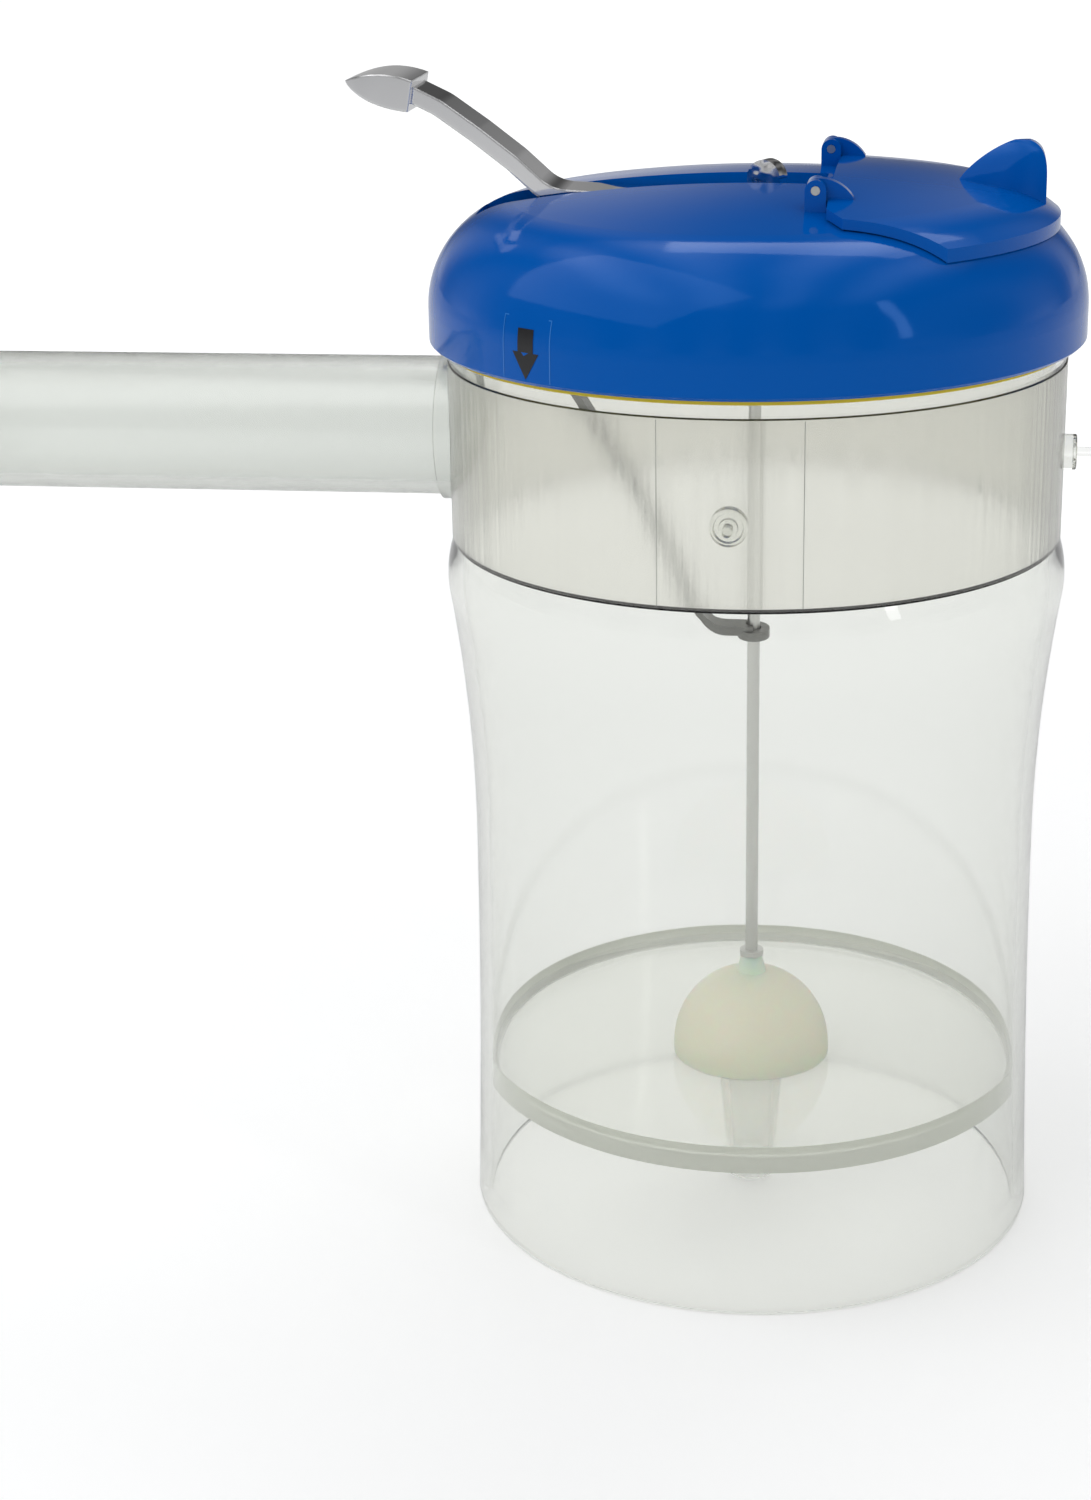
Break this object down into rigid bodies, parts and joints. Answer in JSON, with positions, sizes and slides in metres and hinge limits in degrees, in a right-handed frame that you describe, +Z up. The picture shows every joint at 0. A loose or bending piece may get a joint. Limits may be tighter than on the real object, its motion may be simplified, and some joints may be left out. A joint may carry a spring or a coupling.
{
  "type": "gravy_fat_separator",
  "caption": "Clear jug with a bottom outlet, a straight tube handle, a domed blue lid with a hinged filling flap, and a thumb lever that lifts a silicone valve on a rod",
  "frame": {"origin": "On the jug's axis, at the plane of its foot ring", "axes": "+Z up along the jug's axis; the handle points along -X and the flap's thumb fin is at +X; +Y is the far side seen from the picture's front"},
  "size_m": [0.2344, 0.1266, 0.2296],
  "materials": {
    "clear_plastic": "clear moulded, gloss, hazy band below the lid",
    "blue_plastic": "gloss moulded royal blue",
    "amber_seal": "soft translucent ring",
    "chrome": "bright plated",
    "plain_steel": "stainless, drawn",
    "dark_steel": "stainless, dull and dark",
    "ivory_silicone": "translucent ivory silicone"
  },
  "bodies": {
    "jug": {"jug_body": "clear_plastic", "outlet_spout": "clear_plastic", "handle_tube": "clear_plastic", "handle_end_cap": "clear_plastic"},
    "lid": {"lid_shell": "blue_plastic", "lid_seal": "amber_seal", "strainer_plate": "blue_plastic", "lever_bracket": "plain_steel", "bracket_screws": "plain_steel", "rod_guide_arm": "dark_steel", "pivot_pin": "plain_steel", "pin_clip": "plain_steel", "lever_spring": "plain_steel", "flap_hinge_pins": "plain_steel"},
    "flap": {"flap_cover": "blue_plastic"},
    "lever": {"lever_arm": "chrome"},
    "valve": {"valve_rod": "plain_steel", "rod_head": "chrome", "rod_clip": "plain_steel", "valve_dome": "ivory_silicone", "valve_washer": "plain_steel", "valve_nut": "plain_steel"}
  },
  "joints": [
    {"name": "lid_lift", "type": "slide", "parent": "jug", "child": "lid", "axis": [0, 0, 1], "range_m": [0, 0.19]},
    {"name": "flap_hinge", "type": "hinge", "parent": "lid", "child": "flap", "pos_m": [0.0127, 0, 0.21162], "axis": [0, -1, 0], "range_deg": [0, 105]},
    {"name": "lever_press", "type": "hinge", "parent": "lid", "child": "lever", "pos_m": [-0.036, 0, 0.2015], "axis": [0, -1, 0], "range_deg": [0, 8], "stiffness_Nm_per_rad": 1, "springref_deg": -5.73},
    {"name": "valve_lift", "type": "slide", "parent": "lid", "child": "valve", "axis": [0, 0, 1], "range_m": [0, 0.005]}
  ],
  "couplings": [
    {"joint": "valve_lift", "follows": "lever_press", "m_per_rad": 0.0358}
  ]
}
